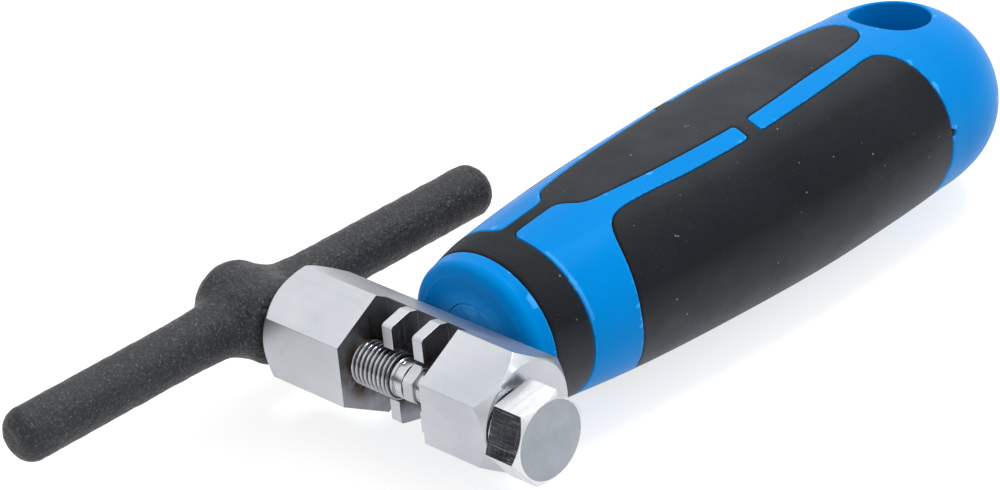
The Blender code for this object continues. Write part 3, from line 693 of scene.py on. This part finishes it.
def build_end_bolt(sides, face_painted_shade, painted_dark_flats_with_scratches):
    """The hollow hexagon bolt, with a darker copy of its steel on its face as painted shade, and painted
    dark reflections on two opposite flats.
    """
    corner = BOLT_AF / math.sqrt(3)
    head = prism_item("head", hexagon(corner, BOLT_TURN, (SCREW_Y, 0.0)), BOLT_HEAD, BOLT_FACE + 1)
    wide = corner + 0.2
    chamfer = [
        (BOLT_HEAD - 1.0, 0), (BOLT_HEAD - 1.0, wide), (BOLT_FACE - 1.05, wide),
        (BOLT_FACE, BOLT_FACE_R), (BOLT_FACE, 0),
    ]
    combine(head, [turned_item("bolt_chamfer", chamfer, 160, centre=SCREW_AXIS)], "INTERSECT")
    shoulder = [
        (BOLT_SHOULDER - 4, 0), (BOLT_SHOULDER - 4, THREAD_R - 0.4),
        (BOLT_SHOULDER, THREAD_R - 0.4), (BOLT_SHOULDER, BOLT_SHOULDER_R),
        (BOLT_HEAD + 1.0, BOLT_SHOULDER_R), (BOLT_HEAD + 1.0, 0),
    ]
    combine(head, [turned_item("bolt_shoulder", shoulder, 128, centre=SCREW_AXIS)], "UNION")
    soften(welded(head), 0.17, 3)
    steps = 64
    rings = thread_points(BOLT_END + 0.4, BOLT_SHOULDER - 0.8, steps, 8, 0.8, 0.8)
    inner = BOLT_SHOULDER - 0.4
    after = [(inner, THREAD_R - 0.45), (inner, 0)]
    before = [(inner - 0.5, 0), (inner - 0.5, BOLT_BORE_R)]
    before += [(BOLT_END, BOLT_BORE_R), (BOLT_END, THREAD_R - 0.5)]
    points, faces = threaded(before, rings, after, steps, SCREW_AXIS)
    combine(head, [solid("bolt_thread", points, faces)], "UNION")
    bore = rod_item("bolt_hollow", BOLT_BORE_R, BOLT_END - 1, BOLT_BORE_END, centre=SCREW_AXIS)
    combine(head, [bore], "DIFFERENCE")
    piece = settle(head, "hex_end_bolt", sides, "bolt", "end_bolt", 30.0)
    piece.data.materials.append(face_painted_shade)
    piece.data.materials.append(painted_dark_flats_with_scratches)
    turn = math.radians(BOLT_TURN + 150)
    flat = Vector((0.0, math.cos(turn), math.sin(turn)))
    for face in piece.data.polygons:
        along = (face.center.x - ORIGIN.x) / MM
        # The face takes the darker copy of the bolt steel, painted shade; two opposite flats take the
        # near-black painted dark reflection.
        if face.normal.x > 0.99 and along > BOLT_FACE - 0.05:
            face.material_index = 1
        elif abs(face.normal.dot(flat)) > 0.985 and along > BOLT_HEAD:
            face.material_index = 2
    return piece


def smooth_min(first, second, blend):
    """The smaller of two distances, with the crease between them filled to that radius."""
    share = np.clip(0.5 + 0.5 * (second - first) / blend, 0.0, 1.0)
    return second * (1 - share) + first * share - blend * share * (1 - share)


def rounded_rod_distance(along, across, low, high, radius, rounding):
    """Signed distance to a rod with rounded ends."""
    half = (high - low) / 2 - rounding
    out_along = np.abs(along - (low + high) / 2) - half
    out_across = across - (radius - rounding)
    outside = np.hypot(np.maximum(out_along, 0), np.maximum(out_across, 0))
    return outside + np.minimum(np.maximum(out_along, out_across), 0) - rounding


def t_bar_distance(points):
    """Signed distance, in design millimetres, to the cast T-bar."""
    x, y, z = points[:, 0], points[:, 1] - SCREW_Y, points[:, 2]
    across = np.hypot(x - ARM_X, z)
    low, high = ARM_LOW_Y - SCREW_Y, ARM_HIGH_Y - SCREW_Y
    arms = rounded_rod_distance(y, across, low, high, ARM_R, ARM_END_ROUND)
    swell = across - SWELL * np.exp(-((y / SWELL_REACH) ** 2)) - ARM_R
    arms = np.where(np.abs(y) < 25.0, swell, arms)
    reach = np.hypot(y, z)
    rounding = np.where(x < ARM_X, BOSS_ROUND, BOSS_RIGHT_ROUND)
    boss = rounded_rod_distance(x, reach, BOSS_LEFT, BOSS_RIGHT, BOSS_R, rounding)
    return smooth_min(arms, boss, BOSS_BLEND)


def casting_lumps(points, size, seed):
    """Smooth uneven bumps from -1 to 1: sums of sine waves in fixed pseudo-random directions."""
    rng = np.random.default_rng(seed)
    total = np.zeros(len(points))
    for _ in range(14):
        direction = rng.normal(size=3)
        direction *= 2 * math.pi / (size * rng.uniform(0.7, 1.5)) / np.linalg.norm(direction)
        total += np.sin(points @ direction + rng.uniform(0, 2 * math.pi))
    return total / 5.0


def build_t_bar(material):
    """The casting: a rough bar and boss in even small faces, moved onto the smooth shape."""
    arms = [(ARM_LOW_Y - SCREW_Y, 0), (ARM_LOW_Y - SCREW_Y, 3), (ARM_LOW_Y - SCREW_Y + 2, ARM_R)]
    arms += [(ARM_HIGH_Y - SCREW_Y - 2, ARM_R), (ARM_HIGH_Y - SCREW_Y, 3), (ARM_HIGH_Y - SCREW_Y, 0)]
    bar = turned_item("bar", arms, 48, "Y", (ARM_X, SCREW_Y, 0.0))
    boss = [(BOSS_LEFT, 0), (BOSS_LEFT, 4), (BOSS_LEFT + 3, BOSS_R)]
    boss += [(BOSS_RIGHT, BOSS_R), (BOSS_RIGHT, 0)]
    combine(bar, [turned_item("boss", boss, 48, centre=SCREW_AXIS)], "UNION")
    remesh = bar.modifiers.new("Even", "REMESH")
    remesh.mode = "VOXEL"
    remesh.voxel_size = CASTING_VOXEL * MM
    mesh = result_of(bar)
    points = np.empty(len(mesh.vertices) * 3)
    mesh.vertices.foreach_get("co", points)
    points = points.reshape(-1, 3) / MM
    step = 0.01
    for _ in range(7):
        distance = t_bar_distance(points)
        slope = np.stack(
            [(t_bar_distance(points + np.eye(3)[i] * step) - distance) / step for i in range(3)], axis=1
        )
        points -= slope * (distance / np.maximum((slope**2).sum(axis=1), 0.2))[:, None]
    lumps = 0.045 * casting_lumps(points, 3.6, 5) + 0.03 * casting_lumps(points, 1.5, 8) - 0.09
    points += slope * np.minimum(lumps, 0.0)[:, None]
    mesh.vertices.foreach_set("co", (points * MM).ravel())
    mesh.update()
    bpy.data.objects.remove(bar, do_unlink=True)
    bar = scratch(mesh)
    socket = [
        (SPINDLE_START - 0.3, 0), (SPINDLE_START - 0.3, THREAD_R + 0.15),
        (BOSS_RIGHT - 0.4, THREAD_R + 0.15), (BOSS_RIGHT + 0.6, THREAD_R + 1.15),
        (BOSS_RIGHT + 0.6, 0),
    ]
    combine(bar, [turned_item("socket", socket, 96, centre=SCREW_AXIS)], "DIFFERENCE")
    bar.data.shade_smooth()
    return settle(bar, "cast_t_bar", material, "screw", "t_bar", 50.0)


# ---- the handle


def barrel_table():
    """The handle's radius at fine steps along it: a smooth curve through BARREL, then the dome."""
    knots = [(2 * BARREL[0][0] - BARREL[1][0], 2 * BARREL[0][1] - BARREL[1][1]), *BARREL]
    knots += [(DOME_START, DOME_R), (2 * DOME_START - BARREL[-1][0], 2 * DOME_R - BARREL[-1][1])]
    places, radii = [], []
    for (y0, r0), (y1, r1), (y2, r2), (y3, r3) in zip(knots, knots[1:], knots[2:], knots[3:]):
        t = np.linspace(0, 1, 60, endpoint=False)
        ease = t * t * (3 - 2 * t)
        slopes = (r2 - r0) / (y2 - y0) * t * (1 - t) ** 2 - (r3 - r1) / (y3 - y1) * t * t * (1 - t)
        places.append(y1 + (y2 - y1) * t)
        radii.append(r1 * (1 - ease) + r2 * ease + (y2 - y1) * slopes)
    reach = np.sin(np.linspace(0, math.pi / 2, 200))
    places.append(DOME_START + (HANDLE_END - DOME_START) * reach)
    radii.append(DOME_R * (1 - reach**DOME_POWER) ** (1 / DOME_POWER))
    return np.concatenate(places), np.concatenate(radii)


BARREL_PLACES, BARREL_RADII = barrel_table()


def barrel_radius(along):
    return np.interp(along, BARREL_PLACES, BARREL_RADII)


def oval_shares(along):
    """The handle's width and height as shares of its round radius, easing between the knots."""
    places, wide, tall = np.array(OVAL).T
    after = np.clip(np.searchsorted(places, along), 1, len(places) - 1)
    share = np.clip((along - places[after - 1]) / (places[after] - places[after - 1]), 0.0, 1.0)
    ease = share * share * (3 - 2 * share)
    return tuple(part[after - 1] + (part[after] - part[after - 1]) * ease for part in (wide, tall))


def handle_points(angle, along, radius):
    """Points of the handle before its roll: the round section made oval."""
    wide, tall = oval_shares(along)
    return np.stack((radius * wide * np.sin(angle), along, radius * tall * np.cos(angle)), axis=1)


def rolled(points):
    """Points of the handle turned about its axis, the way it sits on the body."""
    cos, sin = math.cos(HANDLE_ROLL), math.sin(HANDLE_ROLL)
    x, y, z = points.T
    return np.stack((x * cos + z * sin, y, z * cos - x * sin), axis=1)


def smooth_loop(corners, per_span=10):
    """A closed curve through the corners (Catmull-Rom)."""
    t = np.linspace(0, 1, per_span, endpoint=False)[:, None]
    knots, before, after, beyond = (np.roll(corners, shift, 0)[:, None] for shift in (0, 1, -1, -2))
    square = 2 * before - 5 * knots + 4 * after - beyond
    cube = 3 * knots - before - 3 * after + beyond
    return (knots + 0.5 * t * (after - before + t * (square + t * cube))).reshape(-1, 2)


def loop_distance(points, loop):
    """Signed distance from 2D points to a closed loop, negative inside."""
    best = np.full(len(points), np.inf)
    inside = np.zeros(len(points), bool)
    for start, end in zip(loop, np.roll(loop, -1, 0)):
        along = end - start
        away = points - start
        share = np.clip(away @ along / (along @ along), 0, 1)
        best = np.minimum(best, ((away - share[:, None] * along) ** 2).sum(axis=1))
        crosses = (start[1] > points[:, 1]) != (end[1] > points[:, 1])
        rise = end[1] - start[1]
        if rise:
            where = start[0] + (points[:, 1] - start[1]) / rise * along[0]
            inside ^= crosses & (points[:, 0] < where)
    return np.where(inside, -1, 1) * np.sqrt(best)


# Half of the top panel's edge, as (sideways along the surface, along the handle)
TOP_PANEL = (
    (1.35, 19.0), (1.35, 24.0), (1.35, 28.5), (1.4, 31.6), (1.9, 33.0), (3.1, 34.2), (4.3, 35.4),
    (5.1, 37.2), (5.6, 40.0), (6.3, 44.5), (7.0, 50.0), (7.8, 60.0), (8.2, 70.0), (7.8, 80.0),
    (6.9, 90.0), (5.95, 100.0), (5.5, 103.0), (4.9, 105.4), (3.6, 107.3), (1.7, 108.2),
)
# Half of a side panel's edge, as (along the handle, degrees from the side's middle)
SIDE_PANEL = (
    (32.2, 0.0), (32.4, 12.0), (32.8, 23.0), (33.5, 36.0), (34.3, 45.5), (35.2, 51.5), (36.5, 55.7),
    (38.5, 58.4), (41.5, 58.9), (47.0, 57.9), (54.0, 56.0), (62.0, 55.1), (70.0, 55.0),
    (80.0, 56.2), (90.0, 58.2), (97.0, 60.2), (101.5, 61.5), (104.0, 60.6), (106.0, 56.7),
    (107.5, 50.9), (108.8, 40.5), (109.6, 27.0), (110.0, 12.0),
)


def panel_distance(half, across, along):
    """Signed distance to the smooth outline through half a panel's edge and its mirror image."""
    half = np.array(half)
    mirrored = half[half[:, 0] > 0] * (-1, 1)
    loop = smooth_loop(np.concatenate((half, mirrored[::-1])))
    return loop_distance(np.stack((across, along), axis=1), loop)


def band_distance(along, ends):
    return np.abs(along - sum(ends) / 2) - (ends[1] - ends[0]) / 2


def grip_distance(along, angle):
    """Signed distance over the handle's surface to the rubber's edge, negative on rubber."""
    radius = barrel_radius(along)
    to_top = np.abs((angle + math.pi / 2) % math.pi - math.pi / 2)
    to_side = math.pi / 2 - to_top
    top = panel_distance(TOP_PANEL, radius * to_top, along)
    side = [(float(barrel_radius(y)) * math.radians(turn), y) for y, turn in SIDE_PANEL]
    nub = np.hypot(along - NUB_Y, radius * to_side) - NUB_R
    flank = np.minimum(panel_distance(side, radius * to_side, along), nub)
    grip = smooth_min(top, band_distance(along, BAND_Y), 1.8)
    return smooth_min(smooth_min(grip, flank, 0.3), band_distance(along, BRIDGE_Y), 0.75)


def split_at(points, extra, triangles, values, level):
    """Cuts triangles along the line where values equal the level, with extra worked out there."""
    above = values > level
    corners = above[triangles]
    count = corners.sum(axis=1)
    mixed = (count == 1) | (count == 2)
    cut = triangles[mixed]
    lone_above = corners[mixed].sum(axis=1) == 1
    lone = np.where(lone_above[:, None], corners[mixed], ~corners[mixed]).argmax(axis=1)
    rows = np.arange(len(cut))
    a, b, c = (cut[rows, (lone + step) % 3] for step in range(3))
    pairs = np.sort(np.concatenate((np.stack((a, b), 1), np.stack((a, c), 1))), axis=1)
    unique, where = np.unique(pairs, axis=0, return_inverse=True)
    where = where.reshape(-1)
    first, second = unique[:, 0], unique[:, 1]
    share = ((level - values[first]) / (values[second] - values[first]))[:, None]
    ab, ac = len(points) + where[: len(a)], len(points) + where[len(a) :]
    pieces = [np.stack(corners, 1) for corners in ((a, ab, ac), (ab, b, c), (ab, c, ac))]
    points, extra = (
        np.concatenate((known, known[first] * (1 - share) + known[second] * share))
        for known in (points, extra)
    )
    return points, extra, np.concatenate((triangles[~mixed], *pieces))


def handle_surface(low, high, ring_step=0.62, steps=HANDLE_STEPS):
    """A fine skin of the handle between two places along it, cut along the rubber's edge lines
    and the parting line. Gives points, distance to the rubber, height over the parting line and
    triangles."""
    rings = round((high - low) / ring_step)
    along = np.repeat(np.linspace(low, high, rings + 1), steps)
    angle = np.tile(np.arange(steps) * 2 * math.pi / steps, rings + 1)
    angle = angle + np.repeat((np.arange(rings + 1) % 2) * math.pi / steps, steps)
    points = handle_points(angle, along, barrel_radius(along))
    i, j = np.meshgrid(np.arange(rings), np.arange(steps), indexing="ij")
    i, j = i.ravel(), j.ravel()
    a, b = i * steps + j, i * steps + (j + 1) % steps
    c, d = a + steps, b + steps
    odd = (i % 2) == 1
    one = np.where(odd[:, None], np.stack((a, b, d), 1), np.stack((a, b, c), 1))
    two = np.where(odd[:, None], np.stack((a, d, c), 1), np.stack((b, d, c), 1))
    triangles = np.concatenate((one, two))
    extra = np.stack((grip_distance(along, angle), points[:, 2]), axis=1)
    for level in EDGE_LEVELS:
        points, extra, triangles = split_at(points, extra, triangles, extra[:, 0], level)
    for level in (-SEAM_HALF, 0.0, SEAM_HALF):
        points, extra, triangles = split_at(points, extra, triangles, extra[:, 1], level)
    for level in HOLE_LEVELS:
        points, extra, triangles = split_at(points, extra, triangles, hole_distance(points), level)
    return points, extra[:, 0], extra[:, 1], triangles


def hole_distance(points):
    """How far points of the handle, before its roll, lie outside the upright hanging hole."""
    placed = rolled(points)
    return np.hypot(placed[:, 0], placed[:, 1] - HOLE_Y) - HOLE_R


def pushed(points, change):
    """Points moved out by change from the true surface radius at their place along the handle."""
    wide, tall = oval_shares(points[:, 1])
    angle = np.arctan2(points[:, 0] / wide, points[:, 2] / tall)
    return handle_points(angle, points[:, 1], barrel_radius(points[:, 1]) + change)


def edge_round(distance, radius):
    """How far a rounded edge of that radius drops at a distance from its rim."""
    inside = np.clip(1 - distance / radius, 0, 1)
    return radius * (1 - np.sqrt(1 - inside**2 * 0.96))


def seam_share(seam):
    """1 on the parting line, falling to 0 beside it."""
    return np.clip(1 - np.abs(seam) / SEAM_HALF, 0, 1)


def build_handle(blue, rubber):
    low, high = HANDLE_FRONT + FRONT_ROUND + 0.3, HANDLE_END - 0.35
    points, grip, seam, triangles = handle_surface(low, high)
    build_core(points, grip, seam, triangles, blue)
    build_rubber(points, grip, seam, triangles, rubber)
    build_plug(blue)


def compacted(points, triangles):
    """Only the points that the triangles use, and the triangles renumbered."""
    used, where = np.unique(triangles, return_inverse=True)
    return points[used], where.reshape(triangles.shape)


def build_rubber(points, grip, seam, triangles, material):
    """The one rubber moulding: its rounded outer skin, an inner skin and the walls between."""
    keep = (grip[triangles] <= -GROOVE + 1e-9).all(axis=1)
    top = -edge_round(-grip - GROOVE, 0.5) - 0.02 - 0.06 * seam_share(seam)
    skin = pushed(points, top)
    outer, faces = compacted(skin, triangles[keep])
    inner, _ = compacted(pushed(points, np.full(len(points), -RUBBER_DEPTH)), triangles[keep])
    count = len(outer)
    ends = np.concatenate((faces[:, [0, 1]], faces[:, [1, 2]], faces[:, [2, 0]]))
    _, first, times = np.unique(np.sort(ends, axis=1), axis=0, return_index=True, return_counts=True)
    rim = ends[first[times == 1]]
    walls = [[int(b), int(a), int(a) + count, int(b) + count] for a, b in rim]
    under = (faces[:, ::-1] + count).tolist()
    points = rolled(np.concatenate((outer, inner)))
    faces = faces.tolist() + under + walls
    add_piece("rubber_overmould", points, faces, material, "frame", "rubber_grip")


def build_core(points, grip, seam, triangles, material):
    """The blue moulding: skin with a recess under the rubber, front face, bores and hanging hole."""
    drop = -edge_round(grip - GROOVE, 0.32) - 0.01
    drop = np.where(grip < GROOVE - 1e-9, -RECESS_DEPTH, drop)
    ridge = 0.05 * seam_share(seam) * (grip > 0.3)
    past = np.clip((HOLE_ROUND - hole_distance(points)) / HOLE_ROUND, 0, None)
    skin = rolled(pushed(points, drop + ridge))
    dip = HOLE_ROUND * np.where(past < 1, 1 - np.sqrt(np.clip(1 - past**2, 0, 1)), past)
    skin[:, 2] -= np.sign(skin[:, 2]) * dip
    rings = [
        (TANG_BORE_END, 0.0), (TANG_BORE_END, TANG_R + 0.2),
        (HANDLE_FRONT + PLUG_RECESS, TANG_R + 0.2),
        (HANDLE_FRONT + PLUG_RECESS, PLUG_R + 0.06), (HANDLE_FRONT + 0.12, PLUG_R + 0.06),
        (HANDLE_FRONT, PLUG_R + 0.18), (HANDLE_FRONT, FRONT_RING_R - 0.14),
        (HANDLE_FRONT - 0.06, FRONT_RING_R), (HANDLE_FRONT, FRONT_RING_R + 0.14),
    ]
    rings += arc((HANDLE_FRONT + FRONT_ROUND, FRONT_FACE_R), FRONT_ROUND, 180, 94, 12)
    return join_handle(skin, triangles, rings, material)


def join_handle(skin, triangles, rings, material):
    """Closes the skin with turned front and end caps, then drills the hanging hole."""
    front_points, front_faces = lathe(rings, HANDLE_STEPS, "Y")
    wide, tall = oval_shares(front_points[:, 1])
    outside = np.hypot(front_points[:, 0], front_points[:, 2]) > PLUG_R + 0.5
    front_points[:, 0] *= np.where(outside, wide, 1.0)
    front_points[:, 2] *= np.where(outside, tall, 1.0)
    front_points = rolled(front_points)
    shift = len(front_points)
    last = shift - HANDLE_STEPS
    faces = front_faces + (triangles + shift).tolist()
    for i in range(HANDLE_STEPS):
        j = (i + 1) % HANDLE_STEPS
        faces.append([last + i, last + j, shift + j, shift + i])
    end_ring = np.where(np.abs(skin[:, 1] - skin[:, 1].max()) < 1e-6)[0]
    turn = np.argsort(np.arctan2(skin[end_ring, 0], skin[end_ring, 2]))
    loop = [shift + int(end_ring[i]) for i in turn]
    tip = shift + len(skin)
    faces += [[loop[i], loop[(i + 1) % len(loop)], tip] for i in range(len(loop))]
    points = np.concatenate((front_points, skin, [(0.0, HANDLE_END, 0.0)]))
    core = solid("core", points, faces)
    rod = [(float(along), HOLE_R + 0.01) for along in np.linspace(-DRILL_REACH, DRILL_REACH, 33)]
    drill = turned_item("drill", [(-DRILL_REACH, 0), *rod, (DRILL_REACH, 0)], 128, "Y")
    drill.data.transform(Matrix.Rotation(math.pi / 2, 4, "X"))
    drill.data.transform(Matrix.Translation((0.0, HOLE_Y * MM, 0.0)))
    combine(core, [drill], "DIFFERENCE")
    return settle(core, "blue_handle", material, "frame", "handle_core", 40.0)


def build_plug(material):
    front, back = HANDLE_FRONT, HANDLE_FRONT + PLUG_RECESS - 0.2
    outer, inner = PLUG_R, TANG_NECK_R + 0.05
    profile = [(front + 0.1, inner), (front, inner + 0.1), (front, outer - 0.2)]
    profile += [(front + 0.12, outer - 0.03), (front + 0.3, outer), (back, outer), (back, inner)]
    profile.append(profile[0])
    points, faces = lathe(profile, 128, "Y")
    item = welded(solid("plug", points, faces), 0.001)
    item.data.shade_smooth()
    return settle(item, "front_plug", material, "frame", "handle_plug", 35.0)


def build_tang(material):
    start, end = edge("handle_tang", 1, 0), edge("handle_tang", 1, 1)
    profile = [(start, 0), (start, TANG_R - 0.5), (start + 0.5, TANG_R)]
    profile += [(HEX_AF / 2 - 0.5, TANG_R), (HEX_AF / 2, TANG_NECK_R)]
    profile += [(HANDLE_FRONT + 4.2, TANG_NECK_R), (HANDLE_FRONT + 5.2, TANG_R)]
    profile += [(end - 1.0, TANG_R), (end - 0.3, TANG_R - 0.5), (end, TANG_R - 1.0), (end, 0)]
    points, faces = lathe(profile, 64, "Y")
    return add_piece("steel_tang", points, faces, material, "frame", "handle_tang")


# ---- floor, light and camera

CAMERA_AZIMUTH, CAMERA_ELEVATION, CAMERA_ROLL = 47.04, 28.45, -5.58
CAMERA_DISTANCE, CAMERA_LENS, SENSOR = 700.0, 149.68, 36.0
CAMERA_AIM = (-17.69, 36.0, 1.31)


def camera():
    data = bpy.data.cameras.new("camera")
    data.lens = CAMERA_LENS
    data.sensor_width = SENSOR
    data.sensor_fit = "HORIZONTAL"
    data.clip_start = 0.01
    made = bpy.data.objects.new("camera", data)
    turn = Matrix.Rotation(math.radians(CAMERA_AZIMUTH), 4, "Z")
    turn @= Matrix.Rotation(math.radians(90 - CAMERA_ELEVATION), 4, "X")
    turn @= Matrix.Rotation(math.radians(CAMERA_ROLL), 4, "Z")
    aim = ORIGIN + Vector(CAMERA_AIM) * MM
    back = Vector((0.0, 0.0, CAMERA_DISTANCE * MM))
    made.matrix_world = Matrix.Translation(aim) @ turn @ Matrix.Translation(back)
    bpy.context.scene.collection.objects.link(made)
    bpy.context.scene.camera = made


def area_light(name, place, size, power):
    """A soft square light, placed in metres from the tool's middle and aimed at it."""
    data = bpy.data.lights.new(name, "AREA")
    data.size = size
    data.energy = power
    made = bpy.data.objects.new(name, data)
    target = ORIGIN + Vector((0.0, 0.04, 0.0))
    turn = Vector(place).to_track_quat("Z", "Y").to_matrix().to_4x4()
    made.matrix_world = Matrix.Translation(target + Vector(place)) @ turn
    bpy.context.scene.collection.objects.link(made)


# The room's brightness towards the horizon, overhead, and on the dark side behind the camera
HORIZON, OVERHEAD, DARK_SIDE = 0.62, 1.42, 0.04
DARK_WAY = (-0.64, -0.77, 0.0)
KEY_PLACE, KEY_SIZE, KEY_POWER = (0.12, 0.34, 0.8), 0.22, 4.3
FLOOR_SHADE, FLOOR_GLOW, FLOOR_HALF = (0.34, 0.34, 0.34), 0.72, 6.0


def room():
    """A bright room that is brightest overhead, with one dark wall, which metal flats reflect."""
    world = bpy.data.worlds.new("studio")
    world.use_nodes = True
    n = Nodes(world.node_tree)
    background = n.tree.nodes["Background"]
    background.inputs["Color"].default_value = (1.0, 1.0, 1.0, 1.0)
    way = n.node("ShaderNodeTexCoord").outputs["Generated"]
    toward = n.node("ShaderNodeVectorMath", operation="DOT_PRODUCT")
    toward.inputs[1].default_value = DARK_WAY
    n.link(way, toward.inputs[0])
    height = n.height(way)
    bright = n.ramp(height, 0.0, 0.55, HORIZON, OVERHEAD, "SMOOTHSTEP")
    low = n.ramp(height, 0.18, 0.52, 1.0, 0.0, "SMOOTHSTEP")
    wall = n.ramp(toward.outputs["Value"], 0.3, 0.8, 0.0, 1.0, "SMOOTHSTEP")
    left = n.ramp(n.math("MULTIPLY", low, wall), 0.0, 1.0, 1.0, DARK_SIDE)
    n.link(n.math("MULTIPLY", bright, left), background.inputs["Strength"])
    bpy.context.scene.world = world


def studio():
    floor_mesh = bpy.data.meshes.new("floor")
    work = bmesh.new()
    bmesh.ops.create_grid(work, x_segments=1, y_segments=1, size=FLOOR_HALF)
    work.to_mesh(floor_mesh)
    work.free()
    glow = {"Emission_Strength": FLOOR_GLOW, "Emission_Color": (1.0, 1.0, 1.0, 1.0)}
    shade = Shader("floor_finish", FLOOR_SHADE, 0.9, Specular_IOR_Level=0.0, **glow)
    floor_mesh.materials.append(shade.material)
    floor = bpy.data.objects.new("floor", floor_mesh)
    floor.location.z = -0.0002
    bpy.context.scene.collection.objects.link(floor)
    room()
    area_light("key", KEY_PLACE, KEY_SIZE, KEY_POWER)
    bpy.context.scene.view_settings.view_transform = "Standard"


# ---- the object

satin = milled_steel()
cradle_finish = machined_steel()
bright = turned_steel("turned_steel_finish")
blue = blue_plastic()

build_tool_body(satin, cradle_finish)
# The screw's steel, with painted shade in its thread valleys.
build_spindle(turned_steel("screw_steel_finish", darkened=True))
build_pin_holder(bright)
build_pin("push_pin", bright, PIN_START, PIN_TIP, True, PIN_HEAD_R, "pin_carrier", "drive_pin")
stored = edge("spare_pin", 0, 0), edge("spare_pin", 0, 1)
build_pin("stored_pin", bright, *stored, False, PIN_HEAD_R - 0.2, "spare_pin_carrier", "spare_pin")
build_end_bolt(
    bolt_steel("bolt_steel_finish", (0.60, 0.61, 0.63), (0.74, 0.75, 0.77), 0.25),
    # The face's finish: a darker copy of the bolt steel, painted shade where the face reflects a dimmer
    # part of the room.
    bolt_steel("bolt_face_painted_shade_finish", (0.25, 0.275, 0.30), (0.32, 0.345, 0.375), 0.1),
    # Two opposite flats: spanner scratches over a near-black painted dark reflection.
    scratches_on_painted_dark_flat(),
)
build_t_bar(powder_coat())
build_handle(blue, black_rubber())
build_tang(satin)
camera()
studio()
